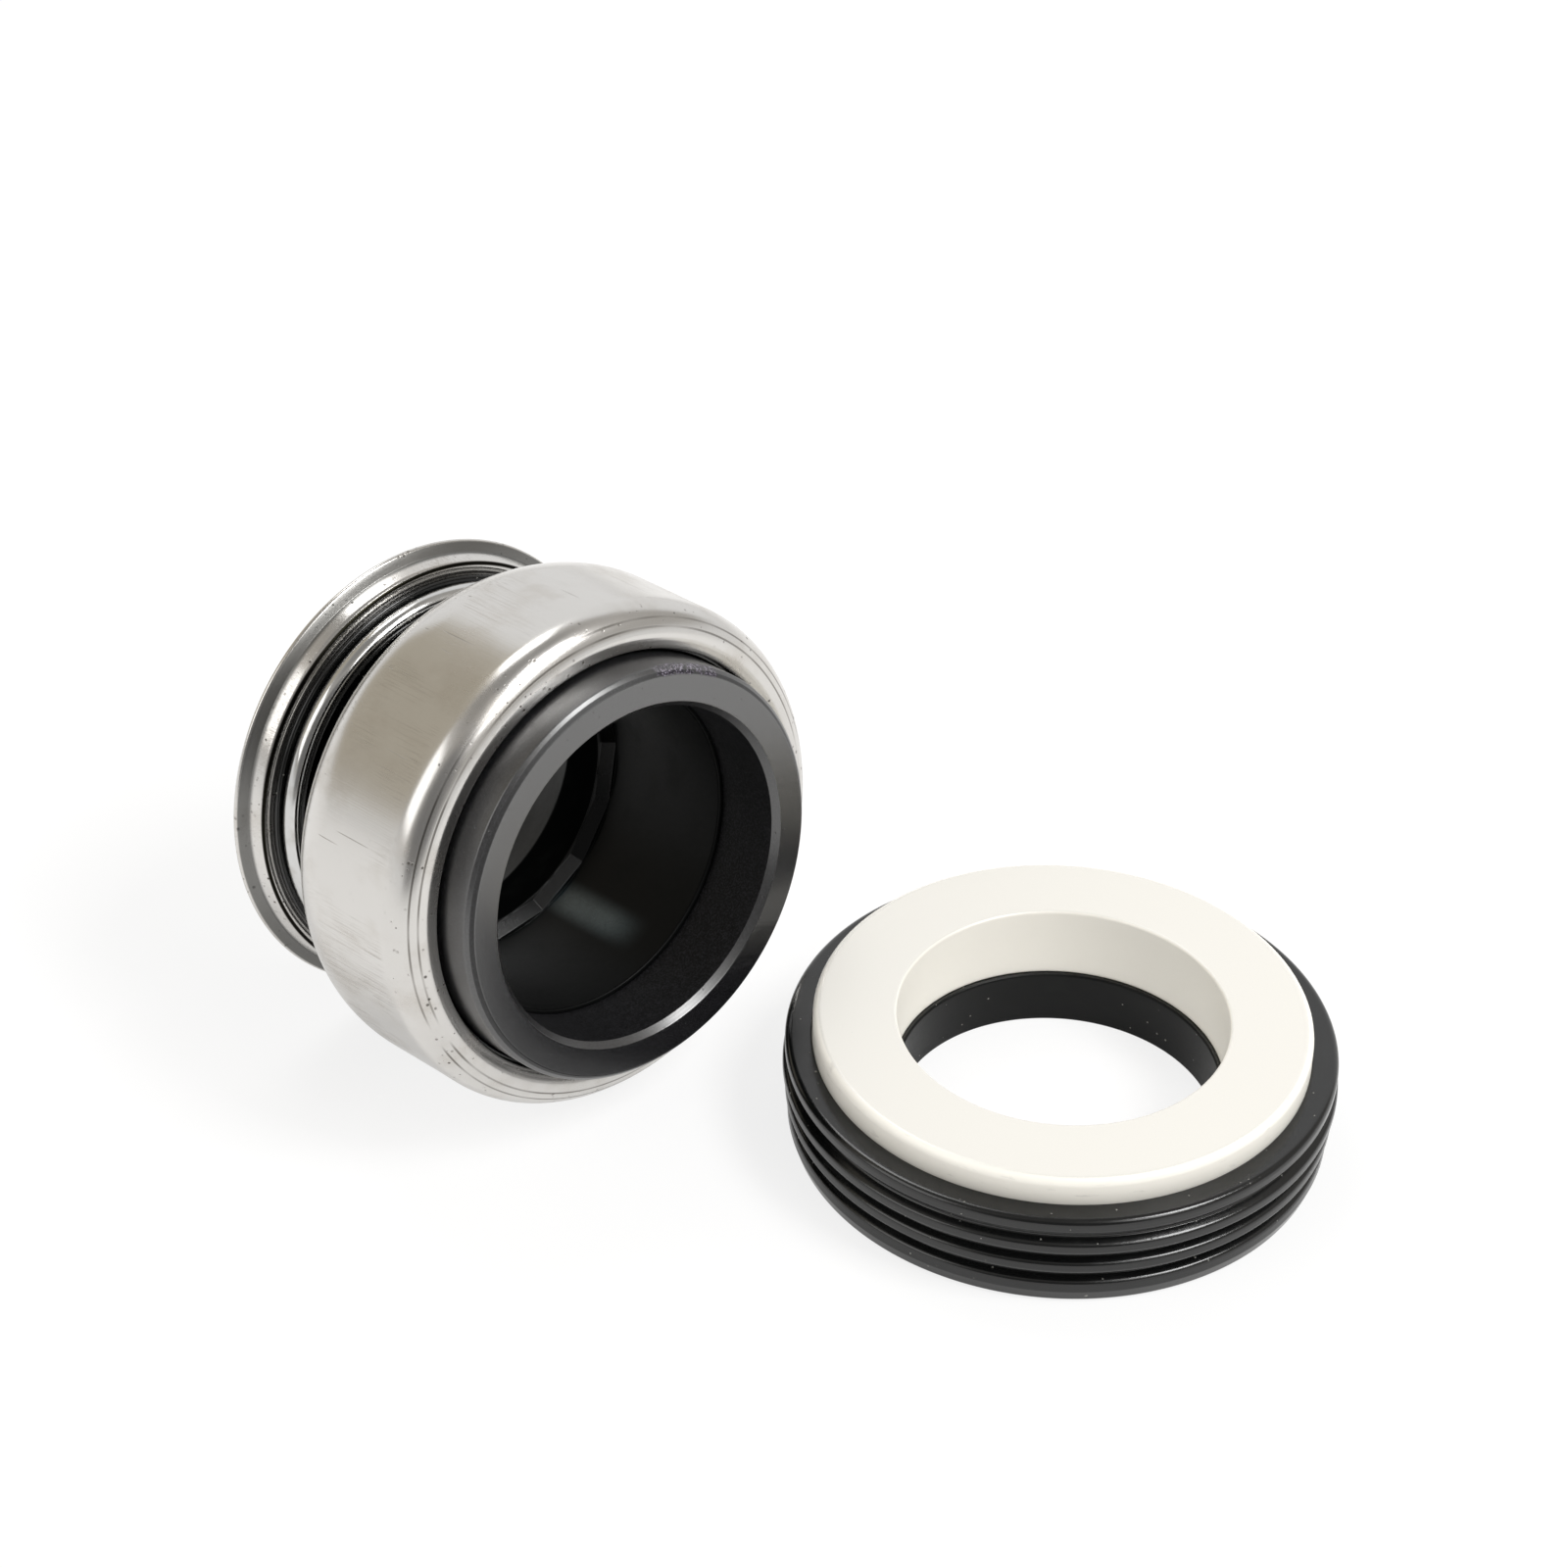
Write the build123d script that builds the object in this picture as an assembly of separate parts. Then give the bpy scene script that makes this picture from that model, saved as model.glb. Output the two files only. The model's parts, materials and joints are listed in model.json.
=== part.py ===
"""Rubber-bellows shaft seal set: a rotary head lying on its side and the stationary seat beside it.

Millimetres, +Z up. The origin is the centre of the seat's bore on the surface that the set lies on.
The head is modelled along its own axis, with the running face at zero and the tail at negative
heights, and is then laid down so that its case and its rim both touch that surface.
"""
from math import acos, asin, atan2, cos, degrees, hypot, pi, radians, sin
import os

from build123d import *

# The shaft that passes through both units.
SHAFT_R = 10.0

# Stationary seat: ceramic ring.
CERAMIC_WIDTH = 5.25
CERAMIC_THICK = 4.95
CERAMIC_SHAFT_GAP = 0.45
CERAMIC_EDGE_R = 0.5
CERAMIC_BORE_EDGE = 0.2

# Stationary seat: rubber cup with lips on its outside.
CUP_WALL = 1.8
CUP_FLOOR = 3.7
CUP_HEIGHT = 6.8
CUP_SHAFT_GAP = 0.15
CUP_EDGE_R = 0.4
FOOT_TAPER = 0.7
LIP_COUNT = 3
LIP_PITCH = 1.68
FIRST_LIP_Z = 1.25
LIP_WIDTH = 0.7
LIP_TAPER = 0.2
GROOVE_WIDTH = 0.4
GROOVE_DEPTH = 0.6
LIP_ROUND = 0.15
RIM_DROP = 0.1

# Rotary head: carbon face ring.
CARBON_WALL = 2.6
NOSE_BEVEL = 0.45
CARBON_LENGTH = 5.1
CARBON_SHAFT_GAP = 1.0
BORE_CHAMFER = 0.28
BORE_CHAMFER_LENGTH = 1.4

# Rotary head: drawn case, set back from the running face.
CASE_WALL = 0.5
CASE_SETBACK = 2.45
CASE_LENGTH = 11.65
MOUTH_GAP = 0.28
MOUTH_ROUND = 0.35
SHOULDER_R = 2.15
TAIL_ROUND_LENGTH = 3.3
TAIL_ROUND_DROP = 1.05

# Rotary head: rubber bellows.
RUBBER_FIT = 0.05
SOCKET_WALL = 2.4
SOCKET_CASE_GAP = 0.1
SOCKET_SETBACK = 0.75
SOCKET_ROUND = 1.4
SOCKET_WEB = 3.85
WALL_THICK = 0.75
TAIL_WALL = 1.7
TAIL_GRIP = 0.2
TAIL_LENGTH = 6.7
TAIL_FLARE = 0.9
TAIL_FLARE_LENGTH = 3.0
FACET_COUNT = 16
FACET_LEDGE = 0.05
FACET_DEPTH = 0.7
FACET_CORNER_ANGLE = -139.5
SKIRT_THICK = 0.4
SKIRT_BEAD_GAP = 0.1
FOOT_OVERHANG = 0.2
FOOT_ROUND = 0.3

# Rotary head: coil spring.
WIRE_R = 0.7
COIL_TAIL_GAP = 0.1
SPRING_LENGTH = 10.9
ACTIVE_TURNS = 2.0
END_TURNS = 0.5
SPRING_START_ANGLE = -70.0
POINTS_PER_TURN = 12

# Rotary head: stamped spring retainer.
RETAINER_SHEET = 0.4
RETAINER_FIT = 0.1
RETAINER_DEPTH = 1.7
BEAD_GAP = 0.55
BEAD_HEIGHT = 0.15
BEAD_HALF_WIDTH = 0.3
COLLAR_DRAFT = 0.3
COLLAR_DEPTH = 0.95
FLANGE_WIDTH = 0.85
BEND_R = 0.28

# Where the head lies beside the seat.
FACE_X = -26.5
FACE_Y = 0.4
HEAD_YAW = -46.9

# Radii that follow from the ones above.
CUP_BORE_R = SHAFT_R + CUP_SHAFT_GAP
CERAMIC_BORE_R = SHAFT_R + CERAMIC_SHAFT_GAP
CERAMIC_R = CERAMIC_BORE_R + CERAMIC_WIDTH
HOUSING_R = CERAMIC_R + CUP_WALL
CUP_FOOT_R = HOUSING_R - FOOT_TAPER
CARBON_BORE_R = SHAFT_R + CARBON_SHAFT_GAP
NOSE_R = CARBON_BORE_R + CARBON_WALL
SOCKET_R = NOSE_R + RUBBER_FIT + SOCKET_WALL
CASE_R = SOCKET_R + SOCKET_CASE_GAP + CASE_WALL
CASE_MOUTH_R = NOSE_R + MOUTH_GAP
TAIL_BORE_R = SHAFT_R - TAIL_GRIP
TAIL_R = TAIL_BORE_R + TAIL_WALL
WALL_BORE_R = TAIL_R - WALL_THICK
COIL_R = TAIL_R + COIL_TAIL_GAP + WIRE_R
FOOT_R = COIL_R + WIRE_R + FOOT_OVERHANG
BEAD_R = COIL_R + WIRE_R + BEAD_GAP
SKIRT_R = BEAD_R - BEAD_HALF_WIDTH - SKIRT_BEAD_GAP
COLLAR_FOOT_R = BEAD_R + BEAD_HALF_WIDTH + COLLAR_DRAFT
RIM_R = COLLAR_FOOT_R + FLANGE_WIDTH

# Places along the head, measured back from the running face, that follow from the ones above.
SHOULDER_BACK = CARBON_LENGTH + RUBBER_FIT + SOCKET_WEB
SPRING_BACK = SHOULDER_BACK + SPRING_LENGTH
WEB_FRONT = SPRING_BACK + SKIRT_THICK
HEAD_LENGTH = WEB_FRONT + RETAINER_DEPTH
TAIL_STEP = HEAD_LENGTH - TAIL_LENGTH
CASE_BACK = CASE_SETBACK + CASE_LENGTH
TAIL_ROUND_R = (TAIL_ROUND_LENGTH**2 + TAIL_ROUND_DROP**2) / (2 * TAIL_ROUND_DROP)
TAIL_ROUND_START = CASE_BACK - TAIL_ROUND_LENGTH


def rounded_ring(points, rounds):
    """Revolve a polygon of (radius, height) points; rounds gives a fillet radius by point number."""
    flat = make_face(Polyline(*points, close=True))
    corners = flat.vertices()
    for number, radius in rounds.items():
        corner = corners.sort_by_distance(points[number])[0]
        near = flat.vertices().sort_by_distance(corner.center())[0]
        flat = fillet(near, radius)
    return revolve(Plane.XZ * flat, Axis.Z, 360)


def ceramic_seat():
    """White ceramic ring, seated on the cup's floor."""
    top = CUP_FLOOR + CERAMIC_THICK
    edge = CERAMIC_BORE_EDGE
    points = [
        (CERAMIC_BORE_R, CUP_FLOOR),
        (CERAMIC_R, CUP_FLOOR),
        (CERAMIC_R, top),
        (CERAMIC_BORE_R + edge, top),
        (CERAMIC_BORE_R, top - edge),
    ]
    return rounded_ring(points, {2: CERAMIC_EDGE_R})


def lip_radius(number):
    """Crest radius of a lip, counted from the bottom; the last lip is the widest."""
    return HOUSING_R - (LIP_COUNT - 1 - number) * LIP_TAPER


def cup_outside():
    """Outside of the cup from its foot to its top edge: lips with grooves between them."""
    points = [(CUP_FOOT_R, 0)]
    half = LIP_WIDTH / 2
    for number in range(LIP_COUNT):
        crest = lip_radius(number)
        middle = FIRST_LIP_Z + number * LIP_PITCH
        groove = middle + LIP_PITCH / 2
        points.append((crest, middle - half))
        points.append((crest, middle + half))
        points.append((crest - GROOVE_DEPTH, groove - GROOVE_WIDTH / 2))
        points.append((crest - GROOVE_DEPTH, groove + GROOVE_WIDTH / 2))
    rim = HOUSING_R - RIM_DROP
    points.append((rim, FIRST_LIP_Z + LIP_COUNT * LIP_PITCH - half))
    points.append((rim, CUP_HEIGHT))
    return points


def seat_cup():
    """Rubber cup that holds the ceramic and seals in the housing bore."""
    outside = cup_outside()
    inside = [
        (CERAMIC_R, CUP_HEIGHT),
        (CERAMIC_R, CUP_FLOOR),
        (CUP_BORE_R, CUP_FLOOR),
        (CUP_BORE_R, 0),
    ]
    rounds = {number: LIP_ROUND for number in range(len(outside) - 1)}
    rounds[len(outside) - 1] = CUP_EDGE_R
    return rounded_ring(outside + inside, rounds)


def carbon_ring():
    """Carbon face ring with a bevelled nose and a long shallow chamfer in its bore."""
    points = [
        (CARBON_BORE_R + BORE_CHAMFER, 0),
        (NOSE_R - NOSE_BEVEL, 0),
        (NOSE_R, -NOSE_BEVEL),
        (NOSE_R, -CARBON_LENGTH),
        (CARBON_BORE_R, -CARBON_LENGTH),
        (CARBON_BORE_R, -BORE_CHAMFER_LENGTH),
    ]
    return rounded_ring(points, {})


def case_line(inset):
    """Case outline from its mouth to its back end, as shoulder arc, barrel line and tail arc."""
    shoulder = (CASE_R - SHOULDER_R, -CASE_SETBACK - SHOULDER_R)
    tail = (CASE_R - TAIL_ROUND_R, -TAIL_ROUND_START)
    mouth_angle = degrees(acos((CASE_MOUTH_R - shoulder[0]) / SHOULDER_R))
    tail_angle = degrees(asin(TAIL_ROUND_LENGTH / TAIL_ROUND_R))
    radius = CASE_R - inset
    return [
        CenterArc(shoulder, SHOULDER_R - inset, mouth_angle, -mouth_angle),
        Line((radius, shoulder[1]), (radius, tail[1])),
        CenterArc(tail, TAIL_ROUND_R - inset, 0, -tail_angle),
    ]


def case_shell():
    """Drawn sheet case: rounded shoulder, in-turned mouth and a back end that rounds inwards."""
    outer = case_line(0)
    inner = case_line(CASE_WALL)
    front_edge = Line(inner[0] @ 0, outer[0] @ 0)
    back_edge = Line(outer[2] @ 1, inner[2] @ 1)
    sheet = make_face(Wire([front_edge, *outer, back_edge, *inner]))
    lip = sheet.vertices().sort_by_distance(outer[0] @ 0)[0]
    return revolve(Plane.XZ * fillet(lip, MOUTH_ROUND), Axis.Z, 360)


def bellows():
    """Rubber bellows: socket round the carbon, thin wall inside the spring, tail that grips the shaft.

    The tail wraps the retainer's web: a thin skirt in front, under the spring, and the foot behind.
    """
    front = -CASE_SETBACK - SOCKET_SETBACK
    floor = -CARBON_LENGTH - RUBBER_FIT
    web_back = -WEB_FRONT - RETAINER_SHEET
    flare = -HEAD_LENGTH + TAIL_FLARE_LENGTH
    points = [
        (NOSE_R + RUBBER_FIT, front),
        (SOCKET_R, front),
        (SOCKET_R, -SHOULDER_BACK),
        (TAIL_R, -SHOULDER_BACK),
        (TAIL_R, -SPRING_BACK),
        (SKIRT_R, -SPRING_BACK),
        (SKIRT_R, -WEB_FRONT),
        (TAIL_R, -WEB_FRONT),
        (TAIL_R, web_back),
        (FOOT_R, web_back),
        (FOOT_R, -HEAD_LENGTH),
        (TAIL_BORE_R + TAIL_FLARE, -HEAD_LENGTH),
        (TAIL_BORE_R, flare),
        (TAIL_BORE_R, -TAIL_STEP),
        (WALL_BORE_R, -TAIL_STEP),
        (WALL_BORE_R, floor),
        (NOSE_R + RUBBER_FIT, floor),
    ]
    ring = rounded_ring(points, {1: SOCKET_ROUND, 2: FOOT_ROUND, 9: FOOT_ROUND})
    return ring - tail_funnel()


def tail_funnel():
    """Many-sided funnel that leads from the tail step into the gripping bore."""
    front = Location((0, 0, -TAIL_STEP), (0, 0, FACET_CORNER_ANGLE))
    back = Location((0, 0, -TAIL_STEP - FACET_DEPTH), (0, 0, FACET_CORNER_ANGLE))
    wide = RegularPolygon(WALL_BORE_R - FACET_LEDGE, FACET_COUNT)
    narrow = RegularPolygon(TAIL_BORE_R, FACET_COUNT, major_radius=False)
    return loft([back * narrow, front * wide], ruled=True)


def spring_height(turn):
    """Height of the wire's centre above its first point; both end stretches lie flat."""
    rise = SPRING_LENGTH - 2 * WIRE_R
    part = min(max((turn - END_TURNS) / ACTIVE_TURNS, 0), 1)
    ease = END_TURNS / ACTIVE_TURNS / 2
    if part < ease:
        eased = part**2 / (2 * ease)
    elif part > 1 - ease:
        eased = 1 - ease - (1 - part)**2 / (2 * ease)
    else:
        eased = part - ease / 2
    return rise * eased / (1 - ease)


def spring():
    """Round wire swept along a helix whose ends flatten against the skirt and the bellows shoulder."""
    turns = ACTIVE_TURNS + 2 * END_TURNS
    steps = round(turns * POINTS_PER_TURN)
    points = []
    for step in range(steps + 1):
        turn = turns * step / steps
        angle = radians(SPRING_START_ANGLE) + 2 * pi * turn
        height = -SPRING_BACK + WIRE_R + spring_height(turn)
        points.append((COIL_R * cos(angle), COIL_R * sin(angle), height))
    path = Spline(*points)
    section = Plane(origin=path @ 0, z_dir=path % 0) * Circle(WIRE_R)
    return sweep(section, path=path, is_frenet=True)


def retainer():
    """Stamped sheet ring: a flat web behind the skirt, a raised bead and a flange round the rim."""
    half = RETAINER_SHEET / 2
    web = -WEB_FRONT - half
    middle = FilletPolyline(
        (TAIL_R + RETAINER_FIT + half, web),
        (BEAD_R - BEAD_HALF_WIDTH, web),
        (BEAD_R, web + BEAD_HEIGHT),
        (BEAD_R + BEAD_HALF_WIDTH, web),
        (COLLAR_FOOT_R, web - COLLAR_DEPTH),
        (RIM_R - half, -HEAD_LENGTH + half),
        radius=BEND_R,
    )
    sheet = make_face(offset(middle, half, side=Side.BOTH))
    return revolve(Plane.XZ * sheet, Axis.Z, 360)


def head_plane():
    """Plane of the running face, tilted so that the case's back round and the rim touch Z zero."""
    rim_edge = RETAINER_SHEET / 2
    case_centre = CASE_R - TAIL_ROUND_R
    rim_centre = RIM_R - rim_edge
    along = HEAD_LENGTH - rim_edge - TAIL_ROUND_START
    span = hypot(along, rim_centre - case_centre)
    slope = atan2(rim_centre - case_centre, along)
    tilt = asin((TAIL_ROUND_R - rim_edge) / span) - slope
    height = TAIL_ROUND_START * sin(tilt) + case_centre * cos(tilt) + TAIL_ROUND_R
    yaw = radians(HEAD_YAW)
    axis = (cos(tilt) * cos(yaw), cos(tilt) * sin(yaw), sin(tilt))
    upward = (-sin(tilt) * cos(yaw), -sin(tilt) * sin(yaw), cos(tilt))
    return Plane(origin=(FACE_X, FACE_Y, height), x_dir=upward, z_dir=axis)


SEAT_PIECES = {"ceramic_seat": ceramic_seat, "seat_cup": seat_cup}
HEAD_PIECES = {
    "carbon_ring": carbon_ring,
    "case_shell": case_shell,
    "bellows": bellows,
    "spring": spring,
    "retainer": retainer,
}

os.makedirs("parts", exist_ok=True)
for name, make in SEAT_PIECES.items():
    export_step(make(), f"parts/{name}.step")
head = head_plane()
for name, make in HEAD_PIECES.items():
    export_step(head.location * make(), f"parts/{name}.step")
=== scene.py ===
"""Looks for a rubber-bellows shaft seal set: the rotary head on its side and the seat beside it.

Profiles are in millimetres, as radius and station. A station is measured along the piece's own axis:
zero at the head's running face with its tail at negative stations, or zero at the seat's underside.
"""
import json
from functools import partial

import bpy
import numpy as np
from mathutils import Matrix, Vector


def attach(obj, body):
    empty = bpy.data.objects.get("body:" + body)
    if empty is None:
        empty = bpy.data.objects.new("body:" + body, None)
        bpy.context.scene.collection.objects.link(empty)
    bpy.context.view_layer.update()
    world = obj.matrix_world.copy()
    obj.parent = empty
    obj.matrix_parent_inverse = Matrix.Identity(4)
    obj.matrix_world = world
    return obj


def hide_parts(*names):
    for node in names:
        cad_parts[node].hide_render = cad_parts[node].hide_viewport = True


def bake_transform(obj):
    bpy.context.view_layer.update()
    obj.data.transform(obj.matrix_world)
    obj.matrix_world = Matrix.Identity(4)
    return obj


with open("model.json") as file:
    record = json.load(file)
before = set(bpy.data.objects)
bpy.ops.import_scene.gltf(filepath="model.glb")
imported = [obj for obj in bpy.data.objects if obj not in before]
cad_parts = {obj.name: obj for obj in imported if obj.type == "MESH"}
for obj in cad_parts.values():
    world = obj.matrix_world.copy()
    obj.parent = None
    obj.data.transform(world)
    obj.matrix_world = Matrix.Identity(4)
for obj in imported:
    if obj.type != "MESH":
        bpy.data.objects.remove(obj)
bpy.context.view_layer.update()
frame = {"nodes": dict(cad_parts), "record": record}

MM = 0.001

# Sizes of the outlines, in millimetres. FUNNEL_TURN is the angle of one of the funnel's corners, in
# degrees.
NOSE_R = 13.6
CARBON_BORE_R = 11.0
CARBON_LENGTH = 5.1
CARBON_GAP = 0.05
CARBON_BEVEL = 0.45
CASE_R = 16.65
CASE_WALL = 0.5
CASE_SETBACK = 2.45
CASE_SHOULDER_R = 2.15
CASE_TAPER_R = 5.711
CASE_TAPER_START = 10.8
SOCKET_R = 16.05
SOCKET_FRONT = 3.2
SHOULDER_BACK = 9.0
TAIL_R = 11.5
TAIL_BORE_R = 9.8
WALL_BORE_R = 10.75
TAIL_STEP = 15.3
FUNNEL_R = 10.494
FUNNEL_DEPTH = 0.7
FUNNEL_SIDES = 16
FUNNEL_TURN = -139.5
SKIRT_R = 13.15
FOOT_R = 13.2
SPRING_BACK = 19.9
WEB_FRONT = 20.3
HEAD_LENGTH = 22.0
RETAINER_SHEET = 0.4
WIRE_R = 0.7
COIL_R = 12.3
WIRE_POINTS = 28
CERAMIC_R = 15.7
CERAMIC_BORE_R = 10.45
CUP_R = 17.4
CUP_BORE_R = 10.15
CUP_FLOOR = 3.7
CUP_HEIGHT = 6.8
CERAMIC_TOP = 8.65


def unit(vectors):
    """Each vector divided by its length."""
    vectors = np.asarray(vectors, float)
    return vectors / np.linalg.norm(vectors, axis=-1, keepdims=True)


def head_home():
    """The head's origin and its upward, sideways and axis directions, from the record's mounts."""
    mounts = {mount["name"]: mount for mount in frame["record"]["mounts"]}
    axis = unit(mounts["carbon_bore"]["axis"])
    inside = np.array(mounts["carbon_bore"]["pos_m"])
    face = np.array(mounts["head_running_face"]["pos_m"])
    origin = inside + axis * ((face - inside) @ axis)
    upward = unit(np.array([0, 0, 1]) - axis * axis[2])
    return origin, upward, np.cross(axis, upward), axis


HEAD = head_home()
SEAT = (np.zeros(3), np.array([1.0, 0, 0]), np.array([0, 1.0, 0]), np.array([0, 0, 1.0]))


def placed(home, across, sideways, along):
    """Millimetres along a home's three directions, turned into points in the frame, in metres."""
    origin, upward, side, axis = home
    local = np.stack([across, sideways, along], -1) * MM
    return origin + local @ np.stack([upward, side, axis])


def mesh_piece(name, points, faces, body, *nodes):
    """A smooth piece from arrays of points and faces, riding on a body in place of CAD nodes."""
    mesh = bpy.data.meshes.new(name)
    mesh.from_pydata(points.reshape(-1, 3), [], faces.tolist())
    mesh.shade_smooth()
    piece = bpy.data.objects.new(name, mesh)
    bpy.context.scene.collection.objects.link(piece)
    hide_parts(*nodes)
    if body:
        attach(piece, body)
    return piece


def grid_faces(rows, columns, close_rows, close_columns):
    """Four-cornered faces of a grid of points, wrapping round where a direction is closed."""
    row = np.arange(rows if close_rows else rows - 1)[:, None]
    column = np.arange(columns if close_columns else columns - 1)[None, :]
    after_row = (row + 1) % rows
    after_column = (column + 1) % columns
    corners = [
        row * columns + column,
        after_row * columns + column,
        after_row * columns + after_column,
        row * columns + after_column,
    ]
    return np.stack(corners, -1).reshape(-1, 4)


def arc(centre, radius, start, end, steps):
    """Points on an arc: the centre plus the radius times cosine and sine of evenly spread degrees."""
    turn = np.radians(np.linspace(start, end, steps))
    return np.array(centre) + radius * np.stack([np.cos(turn), np.sin(turn)], -1)


def rounded(corners, radii, steps=6, hold=0.06, closed=True):
    """An outline with each corner turned into an arc of its radius, and a point close to each arc's ends.

    An arc's centre lies on the line that halves the corner, radius over the sine of half the angle away,
    and its points turn evenly from the direction of one touching point to the other's. The points close
    by hold the shading of the flat stretches between the arcs.
    """
    corners = np.array(corners, float)
    before, after = np.roll(corners, 1, 0), np.roll(corners, -1, 0)
    radii = np.broadcast_to(np.array(radii, float), len(corners))[:, None]
    back, ahead = unit(before - corners), unit(after - corners)
    half = np.arccos(np.clip((back * ahead).sum(-1, keepdims=True), -1, 1)) / 2
    reach = radii / np.tan(half)
    centre = corners + unit(back + ahead) * radii / np.sin(half)
    first, last = corners + back * reach, corners + ahead * reach
    start = np.arctan2(*(first - centre).T[::-1])
    sweep = np.arctan2(*(last - centre).T[::-1]) - start
    sweep = (sweep + np.pi) % (2 * np.pi) - np.pi
    turn = start[:, None] + sweep[:, None] * np.linspace(0, 1, steps)
    arcs = centre[:, None] + radii[:, None] * np.stack([np.cos(turn), np.sin(turn)], -1)
    points = np.concatenate([(first + back * hold)[:, None], arcs, (last + ahead * hold)[:, None]], 1)
    if closed:
        return points.reshape(-1, 2)
    return np.concatenate([corners[:1], points[1:-1].reshape(-1, 2), corners[-1:]])


def divided(outline, longest=0.6):
    """A closed outline with its long straight runs cut into equal pieces, none longer than longest."""
    run = np.roll(outline, -1, 0) - outline
    pieces = np.ceil(np.linalg.norm(run, axis=1) / longest).astype(int).clip(1)
    which = np.repeat(np.arange(len(outline)), pieces)
    first = np.cumsum(pieces) - pieces
    share = (np.arange(len(which)) - first[which]) / pieces[which]
    return outline[which] + run[which] * share[:, None]


def sheet(middle, half, cap, steps=9):
    """Closed outline of bent sheet: its middle line moved half a thickness to both sides, with rounded
    ends that reach cap beyond the line."""
    ahead = unit(np.gradient(middle, axis=0))
    normal = np.stack([ahead[:, 1], -ahead[:, 0]], -1)
    turn = np.radians(np.linspace(0, 180, steps))[1:-1, None]
    front = middle[-1] + np.cos(turn) * half * normal[-1] + np.sin(turn) * cap * ahead[-1]
    back = middle[0] - np.cos(turn) * half * normal[0] - np.sin(turn) * cap * ahead[0]
    return np.concatenate([middle + normal * half, front, (middle - normal * half)[::-1], back])


def turned(name, outline, home, body, nodes, change=None, degrees=np.arange(360)):
    """A closed outline of (radius, station) carried round its home's axis.

    Point (angle, outline) is radius times cosine of the angle upward, radius times its sine sideways,
    and the station along the axis. change gives what is added to the radius, by angle and outline.
    """
    area = np.sum(outline[:, 0] * np.roll(outline[:, 1], -1) - np.roll(outline[:, 0], -1) * outline[:, 1])
    outline = divided(outline if area > 0 else outline[::-1])
    angle = np.radians(degrees)[:, None]
    radius, station = np.repeat(outline.T[:, None], len(degrees), 1)
    if change:
        radius = radius + change(angle, radius, station)
    points = placed(home, radius * np.cos(angle), radius * np.sin(angle), station)
    faces = grid_faces(len(degrees), len(outline), True, True)
    return mesh_piece(name, points, faces, body, *nodes)


# The shapes.

def carbon_shape():
    """Face ring: lapped face, bevelled nose, chamfered bore."""
    corners = [
        (CARBON_BORE_R + 0.4, 0), (NOSE_R - CARBON_BEVEL, 0), (NOSE_R, -CARBON_BEVEL),
        (NOSE_R, -CARBON_LENGTH), (CARBON_BORE_R, -CARBON_LENGTH), (CARBON_BORE_R, -CARBON_BEVEL),
    ]
    outline = rounded(corners, [0.05, 0.12, 0.2, 0.05, 0.05, 0.06])
    return turned("carbon_face_ring", outline, HEAD, "face", ["carbon_ring"])


def case_shape():
    """Drawn case: mouth, rounded shoulder, barrel and a back end that rounds inwards.

    Drawn sheet is faintly wavy: wave times three, plus three sines of the angle and the station, is
    taken off the radius, always inwards, growing from nothing to full over three millimetres.
    """
    half, cut_end, wave, wave_start = CASE_WALL / 2, 0.19, 0.012, 3.2
    mouth = np.array([(14.06, -2.81), (14.25, -2.785), (14.45, -2.757), (14.66, -2.729)])
    bend = (CASE_R - CASE_SHOULDER_R, -CASE_SETBACK - CASE_SHOULDER_R)
    shoulder = arc(bend, CASE_SHOULDER_R - half, 81, 0, 26)
    taper = arc((CASE_R - CASE_TAPER_R, -CASE_TAPER_START), CASE_TAPER_R - half, 0, -34.2, 22)
    middle = np.concatenate([mouth, shoulder, taper])

    def waves(angle, radius, station):
        slow = np.sin(2 * angle + 0.7) + np.sin(3 * angle + 2.1 + station / 5)
        slow = slow + np.sin(5 * angle + station / 3)
        return -wave * (3 + slow) * np.clip((-station - wave_start) / 3, 0, 1)

    return turned("drawn_case", sheet(middle, half, cut_end), HEAD, "face", ["case_shell"], waves)


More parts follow.
